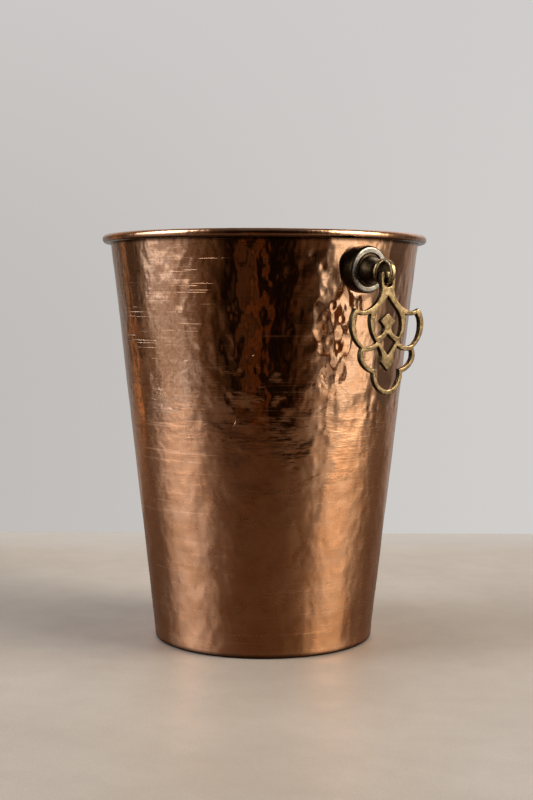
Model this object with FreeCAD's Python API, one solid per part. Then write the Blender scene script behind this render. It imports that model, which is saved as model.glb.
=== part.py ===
import FreeCAD, Part
import math
import os

# Copper ice bucket with two hanging ornamental handles. Millimetres, +Z up.
# The origin is the centre of the circle the bucket stands on. The two handles
# sit on +X and -X; the second is the first turned half a turn about Z.

# ---------------------------------------------------------------- dimensions
# tapered sheet body
SHEET = 1.2            # copper sheet thickness
BASE_R = 64.2          # outer cone radius carried down to the table plane
CONE_TOP_R = 90.45     # outer cone radius at BEAD_Z
BEAD_Z = 234.525       # height of the rim bead's centre
HEEL_R = 1.9           # outside radius where the wall turns under
FOOT_W = 5.5           # width of the flat ring the bucket stands on
KICK_UP = 2.2          # how far the bottom panel is set up inside the foot ring
# rolled rim
BEAD_R = 2.375         # outside radius of the rolled bead
BEAD_C = 92.625        # radius of the bead's centre circle
ROLL_RHO = 2.2         # centre-line radius where the wall turns out over the wire
CURL_END = -150.0      # angle round the wire where the curl stops
WIRE_R = 1.165         # rim wire
# handle hardware, along an axis square to the wall
HANDLE_Z = 216.25      # height of the handle's hole on the wall
HOLE_R = 3.25
BOSS_R_BACK = 13.1
BOSS_R_FRONT = 12.55
BOSS_T = 7.05
BOSS_RECESS_R = 9.35
BOSS_RECESS_D = 1.05
BOSS_BORE_R = 3.2
SPOOL_FOOT_R = 8.6
SPOOL_FOOT_T = 1.15
SPOOL_R1 = 7.65        # neck radius at its foot
SPOOL_R2 = 6.25        # neck radius at its waist
SPOOL_LEN = 16.8       # distance from the wall to the end of the neck
SPOOL_BORE_R = 3.05
COLLAR_R = 6.97
COLLAR_T = 2.6
SHANK_R = 2.95
EYE_D = 19.8           # distance from the wall to the eye's centre
EYE_RO = 6.97
EYE_RI = 4.55
EYE_W = 2.96
GASKET_R, GASKET_T = 9.5, 1.5
WASHER_R, WASHER_T = 8.0, 1.2
NUT_AF = 10.0          # cap nut across flats
NUT_H = 5.5
NUT_DOME_R = 4.55
# hanging ornament
PLATE_T = 2.8
PLATE_BACK = -0.22     # back face, measured outward from the eye's centre
TAB_TOP = 0.18
TAB_HALF = 5.06
HOLE_HALF = 2.9
HOLE_TOP = -3.6
HOLE_SIDE = -5.3
HOLE_LOW = -7.9

# Right half of the ornament's outline, as (across, up) from the eye's centre.
# Each list runs from one corner to the next.
OUTER = [
    [(5.06, -1.5), (5.0, -3.9), (4.68, -6.8), (4.45, -9.4), (5.0, -11.8), (6.84, -15.0),
     (9.9, -17.8), (13.4, -19.68), (16.76, -20.45), (19.5, -20.2), (22.07, -19.15)],
    [(22.07, -19.15), (23.99, -21.47), (25.15, -24.75), (25.35, -28.5), (24.6, -32.15),
     (22.96, -35.3), (20.81, -38.0), (18.25, -40.15)],
    [(18.25, -40.15), (19.1, -42.2), (19.3, -44.4), (18.9, -46.5), (17.7, -48.5),
     (15.73, -50.55), (13.15, -52.3), (10.35, -53.4)],
    [(10.35, -53.4), (10.05, -56.4), (8.75, -59.5), (6.35, -62.4), (3.3, -64.35), (0.0, -65.06)],
]
TEAR_SIDE = [(0.0, -12.56), (1.95, -15.02), (4.75, -17.96), (7.3, -20.89), (8.85, -23.9),
             (9.38, -27.2), (9.15, -30.3), (8.45, -32.5), (7.35, -34.28)]
ARM_TOP = [[(7.35, -34.28), (5.08, -33.22), (3.35, -31.8), (2.58, -30.2), (2.55, -29.1),
            (3.13, -28.1)], [(3.13, -28.1), (5.47, -25.7)], [(5.47, -25.7), (0.0, -21.65)]]
KITE = [[(0.0, -32.52), (2.45, -34.95), (5.3, -36.99)], [(5.3, -36.99), (3.3, -39.75), (0.0, -43.82)]]
LOBE = [
    [(20.5, -22.0), (18.2, -22.75), (15.3, -22.85), (11.95, -22.18)],
    [(11.95, -22.18), (12.45, -25.0), (12.1, -28.52), (11.05, -32.0), (9.6, -34.7), (7.9, -36.98)],
    [(7.9, -36.98), (9.9, -38.3), (12.4, -39.05), (15.0, -39.15), (17.47, -38.55)],
    [(17.47, -38.55), (20.3, -35.7), (21.95, -32.1), (22.5, -28.3), (22.1, -24.9), (20.5, -22.0)],
]
LOW_SIDE = [
    [(16.75, -41.7), (16.9, -44.1), (16.25, -46.35), (14.45, -48.6), (11.7, -50.35), (7.85, -51.4)],
    [(7.85, -51.4), (7.95, -54.2), (7.2, -57.1), (5.45, -59.8), (2.94, -61.75), (0.0, -62.45)],
]
LOW_TOP = [
    [(16.75, -41.7), (13.8, -41.75), (10.9, -41.35), (8.55, -40.5), (6.57, -39.3)],
    [(6.57, -39.3), (5.2, -41.6), (4.05, -44.3)],
    [(4.05, -44.3), (4.85, -47.4)],
    [(4.85, -47.4), (0.0, -52.3)],
]

V = FreeCAD.Vector
TAU = math.atan2(CONE_TOP_R - BASE_R, BEAD_Z)       # wall taper
SL = math.tan(TAU)


def outer_r(z):
    return BASE_R + SL * z


# ---------------------------------------------------------------- helpers
def line(a, b):
    return Part.LineSegment(V(*a), V(*b)).toShape()


def arc(a, m, b):
    return Part.Arc(V(*a), V(*m), V(*b)).toShape()


def revolve_rz(edges):
    """Closed profile of edges drawn in the XZ plane, turned round the Z axis."""
    wire = Part.Wire(edges)
    face = Part.Face(wire)
    return face.revolve(V(0, 0, 0), V(0, 0, 1), 360)


def on(c, r, deg):
    a = math.radians(deg)
    return (c[0] + r * math.cos(a), 0, c[1] + r * math.sin(a))


def arc_rz(c, r, d0, d1):
    return arc(on(c, r, d0), on(c, r, (d0 + d1) / 2.0), on(c, r, d1))


def revolve_dr(pts, d_list=None):
    """Closed polygon of (distance along +X, radius) turned round the X axis."""
    w = Part.makePolygon([V(d, 0, r) for d, r in pts] + [V(pts[0][0], 0, pts[0][1])])
    return Part.Face(w).revolve(V(0, 0, 0), V(1, 0, 0), 360)


def place(shape):
    """Local handle axis (+X) to the wall: square to the tapered sheet at HANDLE_Z on +X."""
    s = shape.copy()
    s.rotate(V(0, 0, 0), V(0, 1, 0), math.degrees(TAU))
    s.translate(V(outer_r(HANDLE_Z), 0, HANDLE_Z))
    return s


def opposite(shape):
    s = shape.copy()
    s.rotate(V(0, 0, 0), V(0, 0, 1), 180)
    return s


def one(shape, name):
    s = shape
    if s.ShapeType != "Solid":
        solids = s.Solids
        if len(solids) != 1:
            raise RuntimeError("%s has %d solids" % (name, len(solids)))
        s = solids[0]
    if not s.isValid():
        raise RuntimeError(name + " is not valid")
    return s


# ---------------------------------------------------------------- bucket shell
# One sheet from the bottom panel, round the heel, up the wall and over the wire.
ct, st = math.cos(TAU), math.sin(TAU)
heel_c_z = HEEL_R
# circle of radius HEEL_R tangent to the table and to the outer cone
heel_c_r = BASE_R + SL * heel_c_z - HEEL_R / ct
heel_wall_o = (heel_c_r + HEEL_R * ct, 0, heel_c_z - HEEL_R * st)
heel_mid_ang = (-90.0 + (-math.degrees(TAU))) / 2.0
HC = (heel_c_r, heel_c_z)
ri = HEEL_R - SHEET
foot_in = heel_c_r - FOOT_W
# step up from the foot ring to the bottom panel, as an S made of two arcs
sr_o, sr_i = 1.6, 1.6 + SHEET
ang = math.degrees(math.acos(1 - KICK_UP / (sr_o + sr_i)))
c1 = (foot_in, sr_i)                                  # lower arc's centre, above the foot
c2 = (foot_in - (sr_o + sr_i) * math.sin(math.radians(ang)), KICK_UP - sr_o)
under = [
    line((0, 0, KICK_UP), (c2[0], 0, KICK_UP)),
    arc_rz(c2, sr_o, 90, 90 - ang),
    arc_rz(c1, sr_i, 270 - ang, 270),
    line((foot_in, 0, 0), (heel_c_r, 0, 0)),
    arc_rz(HC, HEEL_R, -90, -math.degrees(TAU)),
]
over = [
    line((0, 0, KICK_UP + SHEET), (c2[0], 0, KICK_UP + SHEET)),
    arc_rz(c2, sr_o + SHEET, 90, 90 - ang),
    arc_rz(c1, sr_i - SHEET, 270 - ang, 270),
    line((foot_in, 0, SHEET), (heel_c_r, 0, SHEET)),
    arc_rz(HC, ri, -90, -math.degrees(TAU)),
]
# turn-over at the top: centre of the bend, whose centre line ends level with the bead's
top_z = BEAD_Z + BEAD_R - SHEET / 2.0                 # height of the sheet's centre line on top
bz = top_z - ROLL_RHO
# centre line of the wall: r = outer_r(z) - SHEET/2/ct
bx = (outer_r(bz) - SHEET / 2.0 / ct) + ROLL_RHO / ct
BC = (bx, bz)
ro_, ri_ = ROLL_RHO + SHEET / 2.0, ROLL_RHO - SHEET / 2.0
a_wall = 180.0 - math.degrees(TAU)
p_in_wall = on(BC, ro_, a_wall)                       # inner wall surface ends here
p_out_wall = on(BC, ri_, a_wall)                      # outer wall surface ends here
W = (BEAD_C, BEAD_Z)
rim = [
    arc_rz(BC, ro_, a_wall, 90),
    line(on(BC, ro_, 90), on(W, BEAD_R, 90)),
    arc_rz(W, BEAD_R, 90, -30),
    arc_rz(W, BEAD_R, -30, CURL_END),
    line(on(W, BEAD_R, CURL_END), on(W, BEAD_R - SHEET, CURL_END)),
    arc_rz(W, BEAD_R - SHEET, CURL_END, -30),
    arc_rz(W, BEAD_R - SHEET, -30, 90),
    line(on(W, BEAD_R - SHEET, 90), on(BC, ri_, 90)),
    arc_rz(BC, ri_, 90, a_wall),
]
profile = under + [line(heel_wall_o, p_out_wall)]
profile += rim
profile += [line(p_in_wall, on(HC, ri, -math.degrees(TAU)))]
profile += over
profile += [line((0, 0, KICK_UP), (0, 0, KICK_UP + SHEET))]
shell = revolve_rz(Part.__sortEdges__(profile))
shell = one(shell, "bucket_shell")
bore = Part.makeCylinder(HOLE_R, 12, V(-8, 0, 0), V(1, 0, 0))
hole = place(bore)
shell = one(shell.cut(hole).cut(opposite(hole)), "bucket_shell")

# ---------------------------------------------------------------- rim wire
wire_rim = one(Part.makeTorus(BEAD_C, WIRE_R, V(0, 0, BEAD_Z), V(0, 0, 1)), "rim_wire")

# ---------------------------------------------------------------- handle hardware
# solid cones used to fit the pieces to the curved wall, in the handle's local frame
def local_cone(offset):
    c = Part.makeCone(outer_r(0) + offset, outer_r(260) + offset, 260)
    c.translate(V(-outer_r(HANDLE_Z), 0, -HANDLE_Z))
    c.rotate(V(0, 0, 0), V(0, 1, 0), -math.degrees(TAU))
    return c


wall_out = local_cone(0.0)
wall_in = local_cone(-SHEET / ct)

# escutcheon boss: thick round disc, saddled to the wall, with a recessed face
boss = revolve_dr([
    (-1.5, BOSS_BORE_R), (-1.5, BOSS_R_BACK), (0.9, BOSS_R_BACK), (BOSS_T - 1.0, BOSS_R_FRONT + 0.12),
    (BOSS_T - 0.35, BOSS_R_FRONT - 0.12), (BOSS_T, BOSS_R_FRONT - 0.6), (BOSS_T, BOSS_RECESS_R + 0.25),
    (BOSS_T - 0.25, BOSS_RECESS_R), (BOSS_T - BOSS_RECESS_D, BOSS_RECESS_R),
    (BOSS_T - BOSS_RECESS_D, BOSS_BORE_R)])
boss = one(boss.cut(wall_out), "boss")

# neck spool: rounded foot flange and a waisted neck, drilled for the eye bolt's shank
d0 = BOSS_T - BOSS_RECESS_D
f1 = d0 + SPOOL_FOOT_T
e = [
    line((d0, 0, SPOOL_BORE_R), (d0, 0, SPOOL_FOOT_R - 0.2)),
    arc((d0, 0, SPOOL_FOOT_R - 0.2), (d0 + SPOOL_FOOT_T / 2, 0, SPOOL_FOOT_R), (f1, 0, SPOOL_FOOT_R - 0.2)),
    line((f1, 0, SPOOL_FOOT_R - 0.2), (f1, 0, SPOOL_R1)),
]
neck = Part.BSplineCurve()
neck.interpolate([V(f1, 0, SPOOL_R1), V(f1 + 2.2, 0, SPOOL_R1 - 0.55), V(f1 + 5.0, 0, SPOOL_R2 + 0.12),
                  V(SPOOL_LEN - 2.0, 0, SPOOL_R2), V(SPOOL_LEN, 0, SPOOL_R2 + 0.35)])
e.append(neck.toShape())
e.append(line((SPOOL_LEN, 0, SPOOL_R2 + 0.35), (SPOOL_LEN, 0, SPOOL_BORE_R)))
e.append(line((SPOOL_LEN, 0, SPOOL_BORE_R), (d0, 0, SPOOL_BORE_R)))
spool = Part.Face(Part.Wire(e)).revolve(V(0, 0, 0), V(1, 0, 0), 360)
spool = one(spool, "spool")

# eye bolt: shank, rounded collar and a half-round eye in the upright plane
c0, c1_ = SPOOL_LEN, SPOOL_LEN + COLLAR_T
ce = [
    line((c0, 0, 0), (c0, 0, COLLAR_R - 0.5)),
    arc((c0, 0, COLLAR_R - 0.5), ((c0 + c1_) / 2, 0, COLLAR_R), (c1_, 0, COLLAR_R - 0.5)),
    line((c1_, 0, COLLAR_R - 0.5), (c1_, 0, 0)),
    line((c1_, 0, 0), (c0, 0, 0)),
]
collar = Part.Face(Part.Wire(ce)).revolve(V(0, 0, 0), V(1, 0, 0), 360)
SHANK_END = -(SHEET + GASKET_T + WASHER_T + NUT_H + 1.0)
shank = Part.makeCylinder(SHANK_R, c0 - SHANK_END + 0.5, V(SHANK_END, 0, 0), V(1, 0, 0))
shank = shank.makeChamfer(0.6, [ed for ed in shank.Edges
                                if ed.Closed and abs(ed.CenterOfMass.x - SHANK_END) < 1e-6])
ring = Part.makeCylinder(EYE_RO, EYE_W, V(EYE_D, -EYE_W / 2, 0), V(0, 1, 0))
ring = ring.cut(Part.makeCylinder(EYE_RI, EYE_W + 2, V(EYE_D, -EYE_W / 2 - 1, 0), V(0, 1, 0)))
ring = ring.makeFillet(0.55, [ed for ed in ring.Edges if ed.Length > 2 * math.pi * 4])
half = Part.makeBox(20, 20, 20, V(c1_ - 0.7, -10, -10))
ring = ring.common(half)
eye_bolt = one(collar.fuse(shank).fuse(ring).removeSplitter(), "eye_bolt")

# inside: gasket saddled to the wall, flat washer and cap nut
g1 = -(SHEET + GASKET_T)
gasket = revolve_dr([(g1, SHANK_R + 0.15), (g1, GASKET_R), (1.0, GASKET_R), (1.0, SHANK_R + 0.15)])
gasket = one(gasket.common(wall_in), "gasket")
w1 = g1 - WASHER_T
washer = revolve_dr([(w1, SHANK_R + 0.2), (w1, WASHER_R - 0.25), (w1 + 0.25, WASHER_R), (g1 - 0.25, WASHER_R),
                     (g1, WASHER_R - 0.25), (g1, SHANK_R + 0.2)])
washer = one(washer, "washer")
hexa = [V(w1, NUT_AF / math.sqrt(3) * math.cos(math.radians(60 * i + 30)),
          NUT_AF / math.sqrt(3) * math.sin(math.radians(60 * i + 30))) for i in range(6)]
nut = Part.Face(Part.makePolygon(hexa + [hexa[0]])).extrude(V(-NUT_H, 0, 0))
n1 = w1 - NUT_H
cham = revolve_dr([(w1 + 1, 0), (w1 + 1, 5.2), (w1, 5.2), (w1 - 0.45, 5.85), (n1 + 0.45, 5.85), (n1, 5.2), (n1 - 1, 5.2),
                   (n1 - 1, 0)])
nut = nut.common(cham)
dome = Part.makeSphere(NUT_DOME_R, V(n1 + 0.6, 0, 0))
dome = dome.common(Part.makeBox(10, 12, 12, V(n1 - 9.5, -6, -6)))
nut = nut.fuse(dome).cut(Part.makeCylinder(SHANK_R + 0.02, NUT_H + 1.6, V(w1, 0, 0), V(-1, 0, 0)))
nut = one(nut.removeSplitter(), "nut")

# ---------------------------------------------------------------- hanging ornament
eye = place(Part.Vertex(V(EYE_D, 0, 0))).Point
EX, EZ = eye.x, eye.z
XB = EX + PLATE_BACK


def seg(pts, sign=1.0):
    p = [V(XB, sign * a, EZ + b) for a, b in pts]
    if len(p) == 2:
        return Part.LineSegment(p[0], p[1]).toShape()
    c = Part.BSplineCurve()
    c.interpolate(p)
    return c.toShape()


def both(segs):
    return [seg(s) for s in segs] + [seg(s, -1.0) for s in segs]


def plate(edges):
    wire = Part.Wire(Part.__sortEdges__(edges))
    return Part.Face(wire).extrude(V(PLATE_T, 0, 0))


def tab_arc(sign):
    return arc((XB, sign * (TAB_HALF - 1.68), EZ + TAB_TOP), (XB, sign * (TAB_HALF - 0.49), EZ + TAB_TOP - 0.49),
               (XB, sign * TAB_HALF, EZ + TAB_TOP - 1.68))


top = [line((XB, -(TAB_HALF - 1.68), EZ + TAB_TOP), (XB, TAB_HALF - 1.68, EZ + TAB_TOP)), tab_arc(1), tab_arc(-1)]
orn = plate(top + both(OUTER))
teardrop = plate(both([TEAR_SIDE] + ARM_TOP))
kite = plate(both(KITE))
lobe_r = plate([seg(s) for s in LOBE])
lobe_l = plate([seg(s, -1.0) for s in LOBE])
low = plate(both(LOW_SIDE + LOW_TOP))
hh = HOLE_HALF
eyelet = plate([
    line((XB, -hh, EZ + HOLE_TOP), (XB, hh, EZ + HOLE_TOP)),
    line((XB, hh, EZ + HOLE_TOP), (XB, hh, EZ + HOLE_SIDE)),
    line((XB, -hh, EZ + HOLE_TOP), (XB, -hh, EZ + HOLE_SIDE)),
    seg([(hh, HOLE_SIDE), (hh * 0.82, HOLE_SIDE - 1.55), (hh * 0.5, HOLE_LOW + 0.32), (0, HOLE_LOW),
         (-hh * 0.5, HOLE_LOW + 0.32), (-hh * 0.82, HOLE_SIDE - 1.55), (-hh, HOLE_SIDE)]),
])
for cutter in (teardrop, kite, lobe_r, lobe_l, low, eyelet):
    orn = orn.cut(cutter)
pendant = one(orn, "pendant")

# ---------------------------------------------------------------- write the pieces
nodes = {"bucket_shell": shell, "rim_wire": wire_rim}
for name, s in (("handle_boss", boss), ("neck_spool", spool), ("eye_bolt", eye_bolt),
                ("wall_gasket", gasket), ("nut_washer", washer), ("cap_nut", nut)):
    placed = place(s)
    nodes[name + "_right"] = placed
    nodes[name + "_left"] = opposite(placed)
nodes["pendant_right"] = pendant
nodes["pendant_left"] = opposite(pendant)

os.makedirs("parts", exist_ok=True)
for name, s in nodes.items():
    s.exportStep("parts/" + name + ".step")
    bb = s.BoundBox
    print("%-20s vol %9.1f  x %7.2f..%7.2f  y %7.2f..%7.2f  z %7.2f..%7.2f  valid %s" % (
        name, s.Volume, bb.XMin, bb.XMax, bb.YMin, bb.YMax, bb.ZMin, bb.ZMax, s.isValid()))
print("eye centre %.4f %.4f, taper %.3f deg, handle wall radius %.3f" % (EX, EZ, math.degrees(TAU), outer_r(HANDLE_Z)))
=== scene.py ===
import math

import bpy
import numpy as np
from mathutils import Matrix, Vector


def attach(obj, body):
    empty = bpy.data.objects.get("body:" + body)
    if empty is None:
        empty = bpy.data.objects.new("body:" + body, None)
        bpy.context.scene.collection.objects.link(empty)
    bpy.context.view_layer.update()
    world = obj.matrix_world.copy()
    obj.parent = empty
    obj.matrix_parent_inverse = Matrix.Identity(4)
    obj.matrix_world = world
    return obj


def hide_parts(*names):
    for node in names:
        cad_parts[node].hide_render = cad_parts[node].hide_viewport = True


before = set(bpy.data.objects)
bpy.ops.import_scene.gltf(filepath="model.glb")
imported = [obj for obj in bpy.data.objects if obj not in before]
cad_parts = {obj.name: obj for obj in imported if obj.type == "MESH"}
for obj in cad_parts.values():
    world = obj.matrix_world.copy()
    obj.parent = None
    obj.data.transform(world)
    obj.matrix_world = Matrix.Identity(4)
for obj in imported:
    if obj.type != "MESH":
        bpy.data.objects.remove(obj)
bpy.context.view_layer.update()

MM = 0.001

# ------------------------------------------------------------------ sizes (mm), as the design model has them
SHEET = 1.2
BASE_R, CONE_TOP_R, BEAD_Z = 64.2, 90.45, 234.525
HEEL_R, FOOT_W, KICK_UP = 1.9, 5.5, 2.2
BEAD_R, BEAD_C, ROLL_RHO, CURL_END = 2.375, 92.625, 2.2, -150.0
HANDLE_Z = 216.25
TAU = math.atan2(CONE_TOP_R - BASE_R, BEAD_Z)
SL, CT, ST = math.tan(TAU), math.cos(TAU), math.sin(TAU)
EYE_D, EYE_RO, EYE_RI, EYE_W = 19.8, 6.97, 4.55, 2.96
PLATE_T, PLATE_BACK = 2.8, -0.22


def outer_r(z):
    return BASE_R + SL * z


HANDLE_R = outer_r(HANDLE_Z)
EYE_X, EYE_Z = HANDLE_R + EYE_D * CT, HANDLE_Z - EYE_D * ST

# ------------------------------------------------------------------ camera, at the photograph's viewing angle
AZ = math.radians(53.6)
RIGHT = Vector((math.cos(AZ), math.sin(AZ), 0))
BACK = Vector((math.sin(AZ), -math.cos(AZ), 0))          # from the axis towards the camera
CAM_D, CAM_H = 0.8310, 0.1944
PITCH, ROLL, YAW = 0.0650, -0.0037, 0.00184


def make_camera():
    fwd = (-BACK) * math.cos(PITCH) - Vector((0, 0, 1)) * math.sin(PITCH)
    up = (-BACK) * math.sin(PITCH) + Vector((0, 0, 1)) * math.cos(PITCH)
    right = RIGHT.copy()
    fwd, right = fwd * math.cos(YAW) + right * math.sin(YAW), right * math.cos(YAW) - fwd * math.sin(YAW)
    right, up = right * math.cos(ROLL) - up * math.sin(ROLL), up * math.cos(ROLL) + right * math.sin(ROLL)
    cam = bpy.data.cameras.new("photo_camera")
    ob = bpy.data.objects.new("photo_camera", cam)
    bpy.context.scene.collection.objects.link(ob)
    m = Matrix((right, up, -fwd)).transposed().to_4x4()
    m.translation = BACK * CAM_D + Vector((0, 0, CAM_H))
    ob.matrix_world = m
    cam.sensor_fit = "AUTO"
    cam.sensor_width = 36.0
    cam.lens = 63.0
    cam.clip_start, cam.clip_end = 0.01, 50
    cam.dof.use_dof = False
    bpy.context.scene.camera = ob


make_camera()


# ------------------------------------------------------------------ node helpers
class Graph:
    def __init__(self, name):
        self.mat = bpy.data.materials.new(name)
        self.mat.use_nodes = True
        self.t = self.mat.node_tree
        self.t.nodes.clear()
        self.out = self.t.nodes.new("ShaderNodeOutputMaterial")

    def node(self, kind, **kw):
        n = self.t.nodes.new(kind)
        for k, v in kw.items():
            setattr(n, k, v)
        return n

    def link(self, a, b):
        self.t.links.new(a, b)

    def setin(self, n, **kw):
        for k, v in kw.items():
            s = n.inputs[k.replace("_", " ")]
            if hasattr(v, "is_linked") or isinstance(v, bpy.types.NodeSocket):
                self.link(v, s)
            else:
                s.default_value = v
        return n

    def math(self, op, a, b=None, c=None, clamp=False):
        n = self.node("ShaderNodeMath", operation=op, use_clamp=clamp)
        for i, v in enumerate((a, b, c)):
            if v is None:
                continue
            if isinstance(v, bpy.types.NodeSocket):
                self.link(v, n.inputs[i])
            else:
                n.inputs[i].default_value = v
        return n.outputs[0]

    def coords(self):
        return self.node("ShaderNodeTexCoord").outputs["Object"]

    def scaled(self, vec, s):
        n = self.node("ShaderNodeVectorMath", operation="MULTIPLY")
        self.link(vec, n.inputs[0])
        n.inputs[1].default_value = s
        return n.outputs[0]

    def dot(self, vec, d):
        n = self.node("ShaderNodeVectorMath", operation="DOT_PRODUCT")
        self.link(vec, n.inputs[0])
        n.inputs[1].default_value = d
        return n.outputs["Value"]

    def noise(self, vec, scale=1.0, detail=3.0, rough=0.55, distort=0.0):
        n = self.node("ShaderNodeTexNoise")
        self.link(vec, n.inputs["Vector"])
        n.inputs["Scale"].default_value = scale
        n.inputs["Detail"].default_value = detail
        n.inputs["Roughness"].default_value = rough
        n.inputs["Distortion"].default_value = distort
        return n.outputs["Fac"]

    def ramp(self, v, lo, hi, a=0.0, b=1.0, smooth=True):
        n = self.node("ShaderNodeMapRange", interpolation_type="SMOOTHSTEP" if smooth else "LINEAR")
        self.link(v, n.inputs["Value"])
        n.inputs["From Min"].default_value = lo
        n.inputs["From Max"].default_value = hi
        n.inputs["To Min"].default_value = a
        n.inputs["To Max"].default_value = b
        return n.outputs["Result"]

    def mixc(self, f, a, b, blend="MIX"):
        n = self.node("ShaderNodeMix", data_type="RGBA", blend_type=blend)
        for s, v in ((n.inputs["Factor"], f), (n.inputs["A"], a), (n.inputs["B"], b)):
            pass
        ins = [s for s in n.inputs if s.name in ("Factor", "A", "B")]
        fac = [s for s in n.inputs if s.name == "Factor" and s.type == "VALUE"][0]
        A = [s for s in n.inputs if s.name == "A" and s.type == "RGBA"][0]
        B = [s for s in n.inputs if s.name == "B" and s.type == "RGBA"][0]
        for s, v in ((fac, f), (A, a), (B, b)):
            if isinstance(v, bpy.types.NodeSocket):
                self.link(v, s)
            elif s.type == "RGBA":
                s.default_value = (*v, 1.0)
            else:
                s.default_value = v
        return [o for o in n.outputs if o.type == "RGBA"][0]

    def mixf(self, f, a, b):
        """a*(1-f) + b*f"""
        n = self.node("ShaderNodeMix", data_type="FLOAT")
        fs = [s for s in n.inputs if s.type == "VALUE"]
        for s, v in zip((fs[0], [s for s in fs if s.name == "A"][0], [s for s in fs if s.name == "B"][0]), (f, a, b)):
            if isinstance(v, bpy.types.NodeSocket):
                self.link(v, s)
            else:
                s.default_value = v
        return [o for o in n.outputs if o.type == "VALUE"][0]

    def bump(self, height, distance, strength=1.0, normal=None):
        n = self.node("ShaderNodeBump")
        self.link(height, n.inputs["Height"])
        n.inputs["Distance"].default_value = distance
        n.inputs["Strength"].default_value = strength
        if normal is not None:
            self.link(normal, n.inputs["Normal"])
        return n.outputs["Normal"]

    def shader(self, base, rough, metallic=1.0, normal=None, aniso=0.0, tangent=None, spec=0.5, coat=0.0, coat_rough=0.1):
        p = self.node("ShaderNodeBsdfPrincipled")
        for name, v in (("Base Color", base), ("Roughness", rough)):
            if isinstance(v, bpy.types.NodeSocket):
                self.link(v, p.inputs[name])
            else:
                p.inputs[name].default_value = (*v, 1.0) if name == "Base Color" else v
        p.inputs["Metallic"].default_value = metallic
        p.inputs["Anisotropic"].default_value = aniso
        p.inputs["Specular IOR Level"].default_value = spec
        p.inputs["Coat Weight"].default_value = coat
        p.inputs["Coat Roughness"].default_value = coat_rough
        if normal is not None:
            self.link(normal, p.inputs["Normal"])
        if tangent is not None:
            self.link(tangent, p.inputs["Tangent"])
        self.link(p.outputs[0], self.out.inputs["Surface"])
        self.p = p
        return self.mat


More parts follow.
